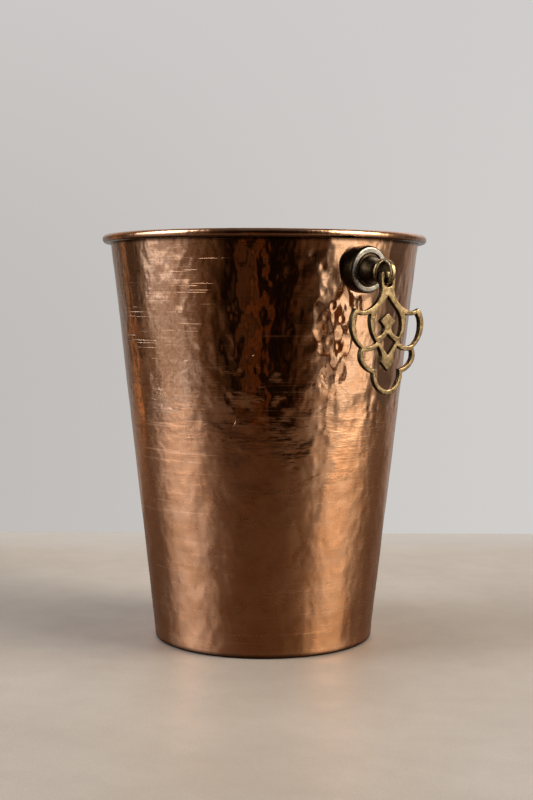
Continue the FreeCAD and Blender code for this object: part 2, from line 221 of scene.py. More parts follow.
def copper_outside():
    g = Graph("hammered_copper_outside")
    P = g.coords()
    z = g.dot(P, (0, 0, 1))
    side = g.dot(P, tuple(RIGHT))
    fine = g.noise(g.scaled(P, (18, 18, 1500)), 1.0, 4, 0.65)
    lines = g.noise(g.scaled(P, (9, 9, 620)), 1.0, 3, 0.7)
    torn = g.noise(g.scaled(P, (70, 70, 480)), 1.0, 4, 0.7)
    low = g.noise(P, 24.0, 3, 0.6)
    mid = g.noise(P, 75.0, 4, 0.6, 0.4)
    blot = g.noise(P, 150.0, 3, 0.6, 0.8)
    grain = g.noise(P, 900.0, 3, 0.6)
    # where the polished upper zone gives way to the satin lower one
    dip = g.ramp(g.math("ABSOLUTE", g.math("SUBTRACT", side, 0.024)), 0.0, 0.024, 0.050, 0.0)
    edge = g.math("ADD", z, dip)
    edge = g.math("ADD", edge, g.math("MULTIPLY", g.math("SUBTRACT", low, 0.5), 0.09))
    edge = g.math("ADD", edge, g.math("MULTIPLY", g.math("SUBTRACT", torn, 0.5), 0.085))
    polished = g.ramp(edge, 0.127, 0.134)
    top = g.ramp(z, 0.10, 0.16)
    # worn band of long horizontal marks round the middle
    zn = g.math("ADD", z, g.math("MULTIPLY", g.math("SUBTRACT", mid, 0.5), 0.07))
    band = g.math("MULTIPLY", g.ramp(zn, 0.085, 0.135), g.ramp(zn, 0.140, 0.175, 1.0, 0.0))
    thr = g.math("SUBTRACT", 0.665, g.math("MULTIPLY", band, 0.085))
    rubbed = g.ramp(g.math("SUBTRACT", lines, thr), 0.0, 0.05)
    rings = g.ramp(g.noise(g.scaled(P, (3, 3, 330)), 1.0, 2, 0.6), 0.665, 0.70)
    rubbed = g.math("MAXIMUM", rubbed, rings)
    # colour
    satin = g.mixc(g.ramp(mid, 0.35, 0.70), (0.85, 0.475, 0.290), (0.76, 0.385, 0.210))
    bright = g.mixc(g.ramp(mid, 0.35, 0.68), (0.90, 0.565, 0.395), (0.82, 0.465, 0.290))
    base = g.mixc(polished, satin, bright)
    base = g.mixc(g.math("MULTIPLY", g.ramp(low, 0.50, 0.74), 0.40), base, (0.62, 0.27, 0.10))
    base = g.mixc(g.math("MULTIPLY", g.ramp(blot, 0.52, 0.72), 0.25), base, (0.55, 0.25, 0.11))
    base = g.mixc(g.math("MULTIPLY", rubbed, 0.18), base, (0.95, 0.66, 0.50))
    # fine tarnish specks on the calm upper side, and hairline scratches round the body
    calm = g.math("MULTIPLY", top, g.ramp(side, -0.045, 0.0, 1.0, 0.30))
    speck = g.math("MULTIPLY", g.ramp(g.noise(P, 560.0, 5, 0.78), 0.47, 0.60), calm)
    base = g.mixc(g.math("MULTIPLY", speck, 0.62), base, (0.40, 0.205, 0.10))
    hair = g.ramp(g.noise(g.scaled(P, (16, 16, 1900)), 1.0, 2, 0.5), 0.655, 0.690)
    hair = g.math("MULTIPLY", hair, g.ramp(low, 0.42, 0.58))
    base = g.mixc(g.math("MULTIPLY", hair, 0.50), base, (1.0, 0.80, 0.64))
    # painted shade: a dark band on the wall just under the bead
    base = g.mixc(g.ramp(z, 0.2300, 0.2322), base, (0.10, 0.050, 0.026))
    # painted shade: the bottom few millimetres darkened as the contact shadow at the heel
    base = g.mixc(g.ramp(z, 0.0010, 0.0032, 0.85, 0.0), base, (0.06, 0.032, 0.018))
    # roughness: fine turning marks over a polished or satin ground
    r = g.mixf(polished, 0.255, 0.075)
    r = g.math("ADD", r, g.math("MULTIPLY", g.math("SUBTRACT", lines, 0.5), 0.12))
    r = g.math("ADD", r, g.math("MULTIPLY", g.math("SUBTRACT", blot, 0.5), 0.10))
    r = g.math("ADD", r, g.math("MULTIPLY", speck, 0.05))
    r = g.math("ADD", r, g.math("MULTIPLY", rubbed, 0.11), clamp=True)
    r = g.math("MAXIMUM", r, 0.07)
    # small hammer marks in the polished zone, turning lines and grain everywhere
    def marks(scale, rad, keep):
        v = g.node("ShaderNodeTexVoronoi", feature="F1")
        v.inputs["Randomness"].default_value = 0.8
        g.link(g.scaled(P, (1.0, 1.0, 0.72)), v.inputs["Vector"])
        v.inputs["Scale"].default_value = scale
        sep = g.node("ShaderNodeSeparateColor")
        g.link(v.outputs["Color"], sep.inputs[0])
        bowl = g.ramp(v.outputs["Distance"], 0.0, rad, 0.0, 1.0)
        here = g.ramp(sep.outputs[0], keep, keep + 0.12, 0.0, 1.0)
        return g.math("SUBTRACT", 1.0, g.math("MULTIPLY", g.math("SUBTRACT", 1.0, bowl), here))
    up = g.noise(g.scaled(P, (85, 85, 20)), 1.0, 2, 0.5)
    n0 = g.bump(marks(82.0, 0.46, 0.22), 0.00042, 1.0)
    n0 = g.bump(marks(150.0, 0.42, 0.40), 0.00022, 1.0, n0)
    n0 = g.bump(up, 0.00050, 1.0, n0)
    n0 = g.bump(g.noise(g.scaled(P, (210, 210, 95)), 1.0, 2, 0.5), 0.00012, 1.0, n0)
    blend = g.node("ShaderNodeMix", data_type="VECTOR")
    geo = g.node("ShaderNodeNewGeometry").outputs["Normal"]
    ins = {q.identifier: q for q in blend.inputs}
    amount = g.math("MULTIPLY", g.mixf(top, 0.06, 1.0), g.ramp(side, -0.050, -0.010, 0.22, 1.0))
    g.link(amount, ins["Factor_Float"])
    g.link(geo, ins["A_Vector"])
    g.link(n0, ins["B_Vector"])
    n0 = [o for o in blend.outputs if o.identifier == "Result_Vector"][0]
    n0 = g.bump(g.noise(g.scaled(P, (78, 78, 58)), 1.0, 2, 0.45), 0.00085, 1.0, n0)
    worn = g.math("MULTIPLY", g.ramp(zn, 0.085, 0.115), g.ramp(zn, 0.140, 0.160, 1.0, 0.0))
    worn = g.math("MULTIPLY", worn, g.ramp(g.noise(g.scaled(P, (34, 34, 70)), 1.0, 3, 0.6), 0.47, 0.62, 0.12, 1.0))
    n0 = g.bump(g.math("MULTIPLY", torn, worn), 0.00026, 1.0, n0)
    cut = g.math("MULTIPLY", hair, g.math("MULTIPLY", top, g.ramp(side, -0.030, 0.0, 1.0, 0.0)))
    n1 = g.bump(cut, 0.000032, 1.0, n0)
    n1 = g.bump(lines, 0.00004, 0.9, n1)
    n2 = g.bump(fine, 0.000006, 0.8, n1)
    n3 = g.bump(grain, 0.000003, 0.6, n2)
    tang = g.node("ShaderNodeTangent", direction_type="RADIAL", axis="Z").outputs[0]
    m = g.shader(base, r, 1.0, n3, 0.70, tang)
    g.p.inputs["Anisotropic Rotation"].default_value = 0.25
    return m


def copper_rim():
    g = Graph("polished_copper_rim")
    P = g.coords()
    z = g.dot(P, (0, 0, 1))
    mid = g.noise(P, 60.0, 4, 0.6)
    spot = g.noise(P, 330.0, 4, 0.7)
    fine = g.noise(g.scaled(P, (60, 60, 900)), 1.0, 4, 0.65)
    base = g.mixc(g.ramp(mid, 0.35, 0.68), (0.74, 0.44, 0.29), (0.54, 0.29, 0.165))
    base = g.mixc(g.math("MULTIPLY", g.ramp(spot, 0.52, 0.68), 0.45), base, (0.26, 0.13, 0.07))
    # painted shade in the corner under the bead
    base = g.mixc(g.ramp(z, 0.2324, 0.2338, 0.92, 0.0), base, (0.050, 0.026, 0.014))
    r = g.math("ADD", 0.15, g.math("MULTIPLY", g.math("SUBTRACT", fine, 0.5), 0.20), clamp=True)
    dents = g.noise(P, 130.0, 2, 0.5)
    return g.shader(base, r, 1.0, g.bump(fine, 0.00002, 0.6, g.bump(dents, 0.00035, 1.0)))


def copper_inside():
    g = Graph("turned_copper_inside")
    P = g.coords()
    lines = g.noise(g.scaled(P, (8, 8, 800)), 1.0, 3, 0.7)
    mid = g.noise(P, 40.0, 4, 0.6, 0.5)
    base = g.mixc(g.ramp(mid, 0.35, 0.70), (0.86, 0.57, 0.42), (0.77, 0.47, 0.32))
    r = g.math("ADD", 0.30, g.math("MULTIPLY", g.math("SUBTRACT", lines, 0.5), 0.2), clamp=True)
    return g.shader(base, r, 1.0, g.bump(lines, 0.00005, 0.8))


def brass(name, light, dark, rough, grain=0.00003, patina=(0.05, 0.035, 0.02), amount=0.35):
    g = Graph(name)
    P = g.coords()
    mott = g.noise(P, 330.0, 4, 0.70, 0.8)
    wide = g.noise(P, 110.0, 3, 0.6)
    spot = g.noise(P, 1500.0, 4, 0.7)
    base = g.mixc(g.ramp(mott, 0.40, 0.62), light, dark)
    base = g.mixc(g.math("MULTIPLY", g.ramp(wide, 0.48, 0.66), 0.45), base, dark)
    base = g.mixc(g.math("MULTIPLY", g.ramp(spot, 0.50, 0.64), amount), base, patina)
    r = g.math("ADD", rough, g.math("MULTIPLY", g.math("SUBTRACT", mott, 0.5), 0.30), clamp=True)
    n = g.bump(mott, grain * 3.5, 1.0)
    n = g.bump(spot, grain * 1.3, 1.0, n)
    return g.shader(base, r, 1.0, n)


def rubber():
    g = Graph("gasket_rubber")
    P = g.coords()
    n = g.noise(P, 1400.0, 4, 0.6)
    base = g.mixc(n, (0.018, 0.018, 0.018), (0.035, 0.033, 0.031))
    return g.shader(base, g.math("ADD", 0.55, g.math("MULTIPLY", n, 0.25)), 0.0, g.bump(n, 0.00003, 0.7))


def steel():
    g = Graph("drawn_steel_wire")
    P = g.coords()
    n = g.noise(P, 700.0, 4, 0.6)
    base = g.mixc(n, (0.42, 0.41, 0.40), (0.60, 0.59, 0.57))
    return g.shader(base, g.math("ADD", 0.28, g.math("MULTIPLY", n, 0.2)), 1.0, g.bump(n, 0.00002, 0.6))


M_OUT, M_RIM, M_IN = copper_outside(), copper_rim(), copper_inside()
M_BRASS = brass("antique_brass", (0.350, 0.250, 0.138), (0.145, 0.099, 0.052), 0.33, amount=0.50)
M_BRASS_EDGE = brass("rubbed_brass_edge", (0.60, 0.45, 0.26), (0.29, 0.206, 0.110), 0.26, amount=0.40)
# painted shade: a near-black brass laid on the faces that turn away from the light
M_BRASS_SHADE = brass("brass_painted_shade", (0.045, 0.031, 0.017), (0.020, 0.014, 0.008), 0.50, amount=0.5)
M_BRONZE = brass("dark_bronze", (0.068, 0.046, 0.025), (0.026, 0.0175, 0.0095), 0.32, amount=0.5)
M_BRONZE_FACE = brass("rubbed_bronze_face", (0.54, 0.51, 0.485), (0.31, 0.28, 0.255), 0.30, amount=0.40, patina=(0.15, 0.12, 0.10))
M_PLAIN = brass("plain_brass", (0.78, 0.60, 0.32), (0.66, 0.49, 0.25), 0.24, amount=0.10)
M_RUBBER, M_STEEL = rubber(), steel()


# ------------------------------------------------------------------ mesh helpers
def new_object(name, verts, faces, mats, mat_index=None, smooth=True):
    me = bpy.data.meshes.new(name)
    me.from_pydata([tuple(v) for v in verts], [], [tuple(f) for f in faces])
    for m in mats:
        me.materials.append(m)
    if mat_index is not None:
        me.polygons.foreach_set("material_index", np.asarray(mat_index, np.int32))
    me.polygons.foreach_set("use_smooth", np.full(len(me.polygons), smooth))
    me.validate()
    me.update()
    ob = bpy.data.objects.new(name, me)
    bpy.context.scene.collection.objects.link(ob)
    return ob


def sharpen(ob, deg=35.0):
    ob.data.set_sharp_from_angle(angle=math.radians(deg))


def arc_pts(c, r, d0, d1, n):
    a = np.radians(np.linspace(d0, d1, n))
    return [(c[0] + r * math.cos(t), c[1] + r * math.sin(t)) for t in a]


def round_path(pts, radii, seg=5):
    """Polyline with its inner corners rounded: radii[i] is the cut length at corner i."""
    out = [pts[0]]
    for i in range(1, len(pts) - 1):
        p, q, s = np.array(pts[i - 1], float), np.array(pts[i], float), np.array(pts[i + 1], float)
        r = radii[i] if not isinstance(radii, (int, float)) else radii
        if r <= 0:
            out.append(tuple(q))
            continue
        a, b = p - q, s - q
        la, lb = np.linalg.norm(a), np.linalg.norm(b)
        ra, rb = min(r, la * 0.49), min(r, lb * 0.49)
        A, B = q + a / la * ra, q + b / lb * rb
        for t in np.linspace(0, 1, seg + 1):
            out.append(tuple((1 - t) ** 2 * A + 2 * t * (1 - t) * q + t * t * B))
    out.append(pts[-1])
    return out


def fine(path, step):
    """The same polyline with no piece longer than step."""
    out = [path[0]]
    for a, b in zip(path[:-1], path[1:]):
        n = max(1, int(math.ceil(math.hypot(b[0] - a[0], b[1] - a[1]) / step)))
        out += [(a[0] + (b[0] - a[0]) * k / n, a[1] + (b[1] - a[1]) * k / n) for k in range(1, n + 1)]
    return out


# ------------------------------------------------------------------ the hammered sheet
rng = np.random.default_rng(727)


def value_noise(u, v, nu, nv, seed):
    """Smooth noise, periodic in u (0..1), with nu by nv cells."""
    r = np.random.default_rng(seed)
    g = r.standard_normal((nu, nv + 4))
    x, y = u * nu, v * nv
    i, j = np.floor(x).astype(int), np.floor(y).astype(int)
    fx, fy = x - i, y - j
    fx, fy = fx * fx * fx * (fx * (fx * 6 - 15) + 10), fy * fy * fy * (fy * (fy * 6 - 15) + 10)
    j = np.clip(j, 0, nv + 2)
    a, b = g[i % nu, j], g[(i + 1) % nu, j]
    c, d = g[i % nu, j + 1], g[(i + 1) % nu, j + 1]
    return (a * (1 - fx) + b * fx) * (1 - fy) + (c * (1 - fx) + d * fx) * fy


# hammer blows in slightly wandering rows round the wall: (angle, height, radius, depth)
BLOWS = []
zrow = 4.0
row = 0
while zrow < 233:
    n = int(round(2 * math.pi * outer_r(zrow) / 9.2))
    off = rng.random()
    for k in range(n):
        ang = 2 * math.pi * (k + off + rng.normal(0, 0.22)) / n
        zz = zrow + rng.normal(0, 2.0)
        up = min(1.0, max(0.0, (zz - 95) / 70))
        BLOWS.append((ang % (2 * math.pi), zz, rng.uniform(6.2, 8.6), rng.uniform(0.050, 0.190) * (0.85 + 0.20 * up)))
    zrow += 7.6
    row += 1
BLOWS = np.array(BLOWS)


def dent(theta, z):
    """How far the sheet is set in (mm) at each point."""
    shape = theta.shape
    th, zz = theta.ravel(), z.ravel()
    R = outer_r(zz)
    out = np.zeros_like(th)
    order = np.argsort(zz)
    zs = zz[order]
    for ang, bz, br, bd in BLOWS:
        i0, i1 = np.searchsorted(zs, bz - br), np.searchsorted(zs, bz + br)
        idx = order[i0:i1]
        dt = np.abs((th[idx] - ang + math.pi) % (2 * math.pi) - math.pi) * R[idx]
        ok = dt < br
        idx, dt = idx[ok], dt[ok]
        q = 1 - (dt * dt + (zz[idx] - bz) ** 2) / (br * br)
        val = bd * np.clip(q, 0, None)
        # soft maximum, so that neighbouring marks meet in a rounded ridge
        k = 0.008
        a = out[idx]
        h = np.clip(0.5 + 0.5 * (val - a) / k, 0, 1)
        out[idx] = a * (1 - h) + val * h + k * h * (1 - h)
    u, v = th / (2 * math.pi), zz / 240.0
    wave = 0.15 * value_noise(u, v, 13, 5, 5) + 0.060 * value_noise(u, v, 31, 11, 9)
    out += 0.16 + wave
    # smooth near the rim, the heel and under the bosses
    fade = np.clip((231.5 - zz) / 7.0, 0, 1) * np.clip((zz - 3.5) / 6.0, 0, 1)
    fade = fade * fade * (3 - 2 * fade)
    psi = np.degrees(th) - math.degrees(AZ) + 90.0
    psi = (psi + 180.0) % 360.0 - 180.0
    calm = np.clip((zz - 125.0) / 30.0, 0, 1)
    fade = fade * (1.0 - 0.72 * calm * calm * (3 - 2 * calm) * np.exp(-((psi + 40.0) / 24.0) ** 2))
    for a0 in (0.0, math.pi):
        dt = np.abs((th - a0 + math.pi) % (2 * math.pi) - math.pi) * R
        d = np.sqrt(dt * dt + (zz - HANDLE_Z) ** 2)
        f = np.clip((d - 13.6) / 4.5, 0, 1)
        fade = fade * f * f * (3 - 2 * f)
    return (out * fade).reshape(shape)


def make_body():
    hc_r = BASE_R + SL * HEEL_R - HEEL_R / CT
    HC = (hc_r, HEEL_R)
    ri = HEEL_R - SHEET
    foot_in = hc_r - FOOT_W
    so, si = 1.6, 1.6 + SHEET
    ang = math.degrees(math.acos(1 - KICK_UP / (so + si)))
    c1 = (foot_in, si)
    c2 = (foot_in - (so + si) * math.sin(math.radians(ang)), KICK_UP - so)
    td = math.degrees(TAU)
    top_z = BEAD_Z + BEAD_R - SHEET / 2.0
    bz = top_z - ROLL_RHO
    bx = outer_r(bz) - SHEET / 2.0 / CT + ROLL_RHO / CT
    ro, rin = ROLL_RHO + SHEET / 2.0, ROLL_RHO - SHEET / 2.0
    W = (BEAD_C, BEAD_Z)
    a_wall = 180.0 - td
    # (radius, height, kind): 0 outside wall, 1 rim, 2 inside, 3 under
    path = []

    def add(pts, kind):
        for p in pts:
            if path and math.hypot(path[-1][0] - p[0], path[-1][1] - p[1]) < 1e-6:
                continue
            path.append((p[0], p[1], kind))

    add([(r, KICK_UP) for r in np.linspace(1.2, c2[0], 6)], 3)
    add(arc_pts(c2, so, 90, 90 - ang, 5), 3)
    add(arc_pts(c1, si, 270 - ang, 270, 5), 3)
    add([(foot_in + (hc_r - foot_in) * t, 0.0) for t in np.linspace(0, 1, 4)], 3)
    add(arc_pts(HC, HEEL_R, -90, -td, 7), 0)
    p0 = path[-1]
    pw = arc_pts((bx, bz), rin, a_wall, a_wall, 1)[0]
    add([(p0[0] + (pw[0] - p0[0]) * t, p0[1] + (pw[1] - p0[1]) * t) for t in np.linspace(0, 1, 142)], 0)
    add(arc_pts((bx, bz), rin, a_wall, 90, 5), 1)
    add(arc_pts(W, BEAD_R - SHEET, 90, CURL_END, 9), 1)
    add(arc_pts(W, BEAD_R - SHEET / 2, CURL_END, CURL_END, 1), 1)
    add(arc_pts(W, BEAD_R, CURL_END, 90, 20), 1)
    add(arc_pts((bx, bz), ro, 90, a_wall, 8), 1)
    p0 = path[-1]
    pi_ = arc_pts(HC, ri, -td, -td, 1)[0]
    add([(p0[0] + (pi_[0] - p0[0]) * t, p0[1] + (pi_[1] - p0[1]) * t) for t in np.linspace(0, 1, 30)], 2)
    add(arc_pts(HC, ri, -td, -90, 4), 2)
    add([(hc_r + (foot_in - hc_r) * t, SHEET) for t in np.linspace(0, 1, 3)], 2)
    add(arc_pts(c1, si - SHEET, 270, 270 - ang, 4), 2)
    add(arc_pts(c2, so + SHEET, 90 - ang, 90, 4), 2)
    add([(r, KICK_UP + SHEET) for r in np.linspace(c2[0], 1.2, 6)], 2)
    pr = np.array([(a, b) for a, b, _ in path])
    kind = np.array([k for _, _, k in path])
    N = 384
    th = np.arange(N) * 2 * math.pi / N
    rows = len(pr)
    T, Z = np.meshgrid(th, pr[:, 1])
    R = np.repeat(pr[:, 0][:, None], N, 1)
    wall = np.abs(R - (outer_r(Z) - np.where(kind[:, None] == 2, SHEET / CT, 0.0))) < 0.12
    D = dent(T, Z) * wall
    R = R - D * CT
    Zd = Z + D * ST
    V = np.stack([R * np.cos(T), R * np.sin(T), Zd], -1).reshape(-1, 3) * MM
    V = np.vstack([V, [[0, 0, KICK_UP * MM], [0, 0, (KICK_UP + SHEET) * MM]]])
    faces, mi = [], []
    slot = {0: 0, 1: 1, 2: 2, 3: 2}
    j = np.arange(N)
    jn = (j + 1) % N
    for i in range(rows - 1):
        k = slot[int(kind[i + 1])]
        a, b = i * N, (i + 1) * N
        for u, w in zip(j, jn):
            faces.append((a + u, a + w, b + w, b + u))
            mi.append(k)
    c0, c1_ = rows * N, rows * N + 1
    for u, w in zip(j, jn):
        faces.append((c0, w, u))
        mi.append(2)
        faces.append((c1_, (rows - 1) * N + u, (rows - 1) * N + w))
        mi.append(2)
    ob = new_object("bucket_body", V, faces, [M_OUT, M_RIM, M_IN], mi)
    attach(ob, "bucket")
    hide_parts("bucket_shell")
    return ob


make_body()
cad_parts["rim_wire"].data.materials.clear()
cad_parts["rim_wire"].data.materials.append(M_STEEL)


# ------------------------------------------------------------------ handle hardware
def side_matrix(side):
    m = Matrix.Translation((HANDLE_R * MM, 0, HANDLE_Z * MM)) @ Matrix.Rotation(TAU, 4, "Y")
    return m if side == "right" else Matrix.Rotation(math.pi, 4, "Z") @ m


def turned(name, path, mats, kinds, side, n=160, saddle=None, closed=True):
    """A turned piece: path is (distance from the wall, radius) in mm round a closed section."""
    P = np.array(path, float)
    th = np.arange(n) * 2 * math.pi / n
    T, Dd = np.meshgrid(th, P[:, 0])
    Rr = np.repeat(P[:, 1][:, None], n, 1)
    if saddle is not None:
        # points marked for the saddle lie on the curved wall
        Y, Zl = Rr * np.cos(T), Rr * np.sin(T)
        off, rowsel = saddle
        X = np.zeros_like(Y)
        for _ in range(12):
            gx = HANDLE_R + X * CT + Zl * ST
            gz = HANDLE_Z - X * ST + Zl * CT
            want = np.sqrt(np.maximum((outer_r(gz) - off / CT) ** 2 - Y * Y, 1.0))
            X = X + (want - gx) / CT * 0.98
        Dd = np.where(np.isin(np.arange(len(P)), rowsel)[:, None], X, Dd)
    V = np.stack([Dd, Rr * np.cos(T), Rr * np.sin(T)], -1).reshape(-1, 3) * MM
    rows = len(P)
    faces, mi = [], []
    j = np.arange(n)
    jn = (j + 1) % n
    last = rows if closed else rows - 1
    for i in range(last):
        a, b = i * n, ((i + 1) % rows) * n
        for u, w in zip(j, jn):
            faces.append((a + u, b + u, b + w, a + w))
            mi.append(kinds[(i + 1) % rows] if not isinstance(kinds, int) else kinds)
    m = side_matrix(side)
    V = [m @ Vector(v) for v in V]
    ob = new_object(name, V, faces, mats, mi)
    me = ob.data
    import bmesh
    bm = bmesh.new()
    bm.from_mesh(me)
    bmesh.ops.remove_doubles(bm, verts=bm.verts, dist=1e-7)
    bmesh.ops.recalc_face_normals(bm, faces=bm.faces)
    bm.to_mesh(me)
    bm.free()
    sharpen(ob, 40)
    return ob


def tag(path, kind):
    return [(d, r, kind) for d, r in path]


def make_boss(side):
    """Thick round disc with softened edges, a rubbed face and a dark recess."""
    o = round_path([(-1.0, 13.1), (0.9, 13.1), (6.05, 12.72), (7.05, 11.85), (7.05, 9.75)], [0, 0.7, 0.75, 0.55, 0], 5)
    o = fine(o, 0.9)
    face = round_path([(7.05, 9.75), (7.05, 9.35), (6.0, 9.3), (6.0, 3.2)], [0, 0.3, 0.25, 0], 4)
    pts, kinds = [], []
    # painted shade: the shoulder between the side and the face takes the near-black brass
    for d, r in o:
        pts.append((d, r))
        kinds.append(1 if d > 6.75 else (2 if d > 5.9 else 0))
    for d, r in fine(face, 0.8)[1:]:
        pts.append((d, r))
        kinds.append(1 if d > 6.9 else 0)
    pts += [(-1.0, 3.2), (-1.0, 5.5), (-1.0, 8.0), (-1.0, 10.6)]
    kinds += [0, 0, 0, 0]
    rowsel = [0] + list(range(len(pts) - 4, len(pts)))
    ob = turned("boss_" + side, pts, [M_BRONZE, M_BRONZE_FACE, M_BRASS_SHADE], kinds, side, 160, (0.0, rowsel))
    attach(ob, "bucket")
    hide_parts("handle_boss_" + side)


def make_spool(side):
    flange = arc_pts((6.58, 8.05), 0.55, 0, 0, 1)
    prof = [(6.02, 3.05), (6.02, 8.1)]
    prof += [(6.60 + 0.58 * math.sin(math.radians(a)), 8.1 + 0.5 * math.cos(math.radians(a))) for a in range(-80, 81, 16)]
    prof += [(7.2, 8.0), (7.22, 7.7)]
    neck = []
    for t in np.linspace(0, 1, 22):
        d = 7.25 + (16.78 - 7.25) * t
        r = 6.25 + 1.42 * (1 - t) ** 2.3 + 0.40 * max(0.0, (t - 0.72) / 0.28) ** 2
        neck.append((d, r))
    prof += neck + [(16.78, 3.05)]
    kinds = []
    for d, r in prof:
        kinds.append(1 if (r > 8.0 and d > 6.35) else 0)
    # the spool's foot takes the neck's dark bronze, also as painted shade round the neck's foot; only a thin ring at
    # its rim is rubbed
    ob = turned("neck_" + side, fine(prof, 2.5), [M_BRONZE, M_BRONZE_FACE], [1 if (r > 8.42 and d > 6.55) else 0 for d, r in fine(prof, 2.5)], side, 144)
    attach(ob, "bucket")
    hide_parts("neck_spool_" + side)


def make_eye(side):
    """Collar with a rounded rim, the half-round eye and the shank that goes through the wall."""
    import bmesh
    c0, c1 = 16.82, 19.4
    prof = [(-9.6, 0.02), (-9.6, 2.4), (-9.1, 2.93)] + [(d, 2.95) for d in np.linspace(-8.5, c0, 14)]
    prof += [(c0, 6.3)]
    prof += [(18.1 + 1.28 * math.sin(math.radians(a)), 6.25 + 0.72 * math.cos(math.radians(a))) for a in range(-80, 81, 16)]
    prof += [(c1, 6.0), (c1, 3.0), (c1, 0.02)]
    # painted shade: the collar's end face, inside the eye, takes the near-black brass
    kinds = [2 if (i >= len(prof) - 2) else 0 for i in range(len(prof))]
    ob = turned("eye_bolt_head_" + side, prof, [M_BRASS, M_BRASS_EDGE, M_BRASS_SHADE], kinds, side, 128, closed=False)
    # the eye: rounded section swept round the upright half circle
    rc, hw, hr, cr = (EYE_RO + EYE_RI) / 2, EYE_W / 2, (EYE_RO - EYE_RI) / 2, 0.78
    sec = []
    for cx, cy, a0 in ((hr - cr, hw - cr, 0), (-(hr - cr), hw - cr, 90), (-(hr - cr), -(hw - cr), 180), (hr - cr, -(hw - cr), 270)):
        for a in np.linspace(a0, a0 + 90, 6):
            sec.append((cx + cr * math.cos(math.radians(a)), cy + cr * math.sin(math.radians(a))))
    angs = np.radians(np.linspace(-99, 99, 73))
    V, F, mi = [], [], []
    m = side_matrix(side)
    for a in angs:
        for s, y in sec:
            V.append(m @ (Vector((EYE_D + (rc + s) * math.cos(a), y, (rc + s) * math.sin(a))) * MM))
    ns = len(sec)
    for i in range(len(angs) - 1):
        for k in range(ns):
            F.append((i * ns + k, i * ns + (k + 1) % ns, (i + 1) * ns + (k + 1) % ns, (i + 1) * ns + k))
            # painted shade: the ring's inner side takes the near-black brass; its outer side the rubbed brass
            mid = (sec[k][0] + sec[(k + 1) % ns][0]) / 2
            midy = (sec[k][1] + sec[(k + 1) % ns][1]) / 2
            mi.append(2 if mid < -0.75 else (1 if mid > 0.8 else 0))
    F.append(tuple(range(ns)))
    F.append(tuple(reversed([(len(angs) - 1) * ns + k for k in range(ns)])))
    mi += [0, 0]
    ring = new_object("eye_tmp_" + side, V, F, [M_BRASS, M_BRASS_EDGE, M_BRASS_SHADE], mi)
    bm = bmesh.new()
    bm.from_mesh(ring.data)
    bmesh.ops.recalc_face_normals(bm, faces=bm.faces)
    bm.to_mesh(ring.data)
    bm.free()
    # one mesh for the whole bolt
    bm = bmesh.new()
    bm.from_mesh(ob.data)
    bm.from_mesh(ring.data)
    bm.to_mesh(ob.data)
    bm.free()
    bpy.data.objects.remove(ring)
    sharpen(ob, 40)
    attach(ob, "bucket")
    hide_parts("eye_bolt_" + side)


for s in ("right", "left"):
    make_boss(s)
    make_spool(s)
    make_eye(s)
    for n, m in (("nut_washer", M_PLAIN), ("cap_nut", M_PLAIN), ("wall_gasket", M_RUBBER)):
        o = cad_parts[n + "_" + s]
        o.data.materials.clear()
        o.data.materials.append(m)
        if n != "wall_gasket":
            b = o.modifiers.new("soft_edges", "BEVEL")
            b.width = 0.00018
            b.segments = 2
            b.limit_method = "ANGLE"
            b.angle_limit = math.radians(35)

# ------------------------------------------------------------------ the hanging ornaments
OUTER = [
    [(5.06, -1.5), (5.0, -3.9), (4.68, -6.8), (4.45, -9.4), (5.0, -11.8), (6.84, -15.0),
     (9.9, -17.8), (13.4, -19.68), (16.76, -20.45), (19.5, -20.2), (22.07, -19.15)],
    [(22.07, -19.15), (23.99, -21.47), (25.15, -24.75), (25.35, -28.5), (24.6, -32.15),
     (22.96, -35.3), (20.81, -38.0), (18.25, -40.15)],
    [(18.25, -40.15), (19.1, -42.2), (19.3, -44.4), (18.9, -46.5), (17.7, -48.5),
     (15.73, -50.55), (13.15, -52.3), (10.35, -53.4)],
    [(10.35, -53.4), (10.05, -56.4), (8.75, -59.5), (6.35, -62.4), (3.3, -64.35), (0.0, -65.06)],
]
TEAR_SIDE = [(0.0, -12.56), (1.95, -15.02), (4.75, -17.96), (7.3, -20.89), (8.85, -23.9),
             (9.38, -27.2), (9.15, -30.3), (8.45, -32.5), (7.35, -34.28)]
ARM_TOP = [[(7.35, -34.28), (5.08, -33.22), (3.35, -31.8), (2.58, -30.2), (2.55, -29.1),
            (3.13, -28.1)], [(3.13, -28.1), (5.47, -25.7)], [(5.47, -25.7), (0.0, -21.65)]]
KITE = [[(0.0, -32.52), (2.45, -34.95), (5.3, -36.99)], [(5.3, -36.99), (3.3, -39.75), (0.0, -43.82)]]
LOBE = [
    [(20.5, -22.0), (18.2, -22.75), (15.3, -22.85), (11.95, -22.18)],
    [(11.95, -22.18), (12.45, -25.0), (12.1, -28.52), (11.05, -32.0), (9.6, -34.7), (7.9, -36.98)],
    [(7.9, -36.98), (9.9, -38.3), (12.4, -39.05), (15.0, -39.15), (17.47, -38.55)],
    [(17.47, -38.55), (20.3, -35.7), (21.95, -32.1), (22.5, -28.3), (22.1, -24.9), (20.5, -22.0)],
]
LOW_SIDE = [
    [(16.75, -41.7), (16.9, -44.1), (16.25, -46.35), (14.45, -48.6), (11.7, -50.35), (7.85, -51.4)],
    [(7.85, -51.4), (7.95, -54.2), (7.2, -57.1), (5.45, -59.8), (2.94, -61.75), (0.0, -62.45)],
]
LOW_TOP = [
    [(16.75, -41.7), (13.8, -41.75), (10.9, -41.35), (8.55, -40.5), (6.57, -39.3)],
    [(6.57, -39.3), (5.2, -41.6), (4.05, -44.3)],
    [(4.05, -44.3), (4.85, -47.4)],
    [(4.85, -47.4), (0.0, -52.3)],
]


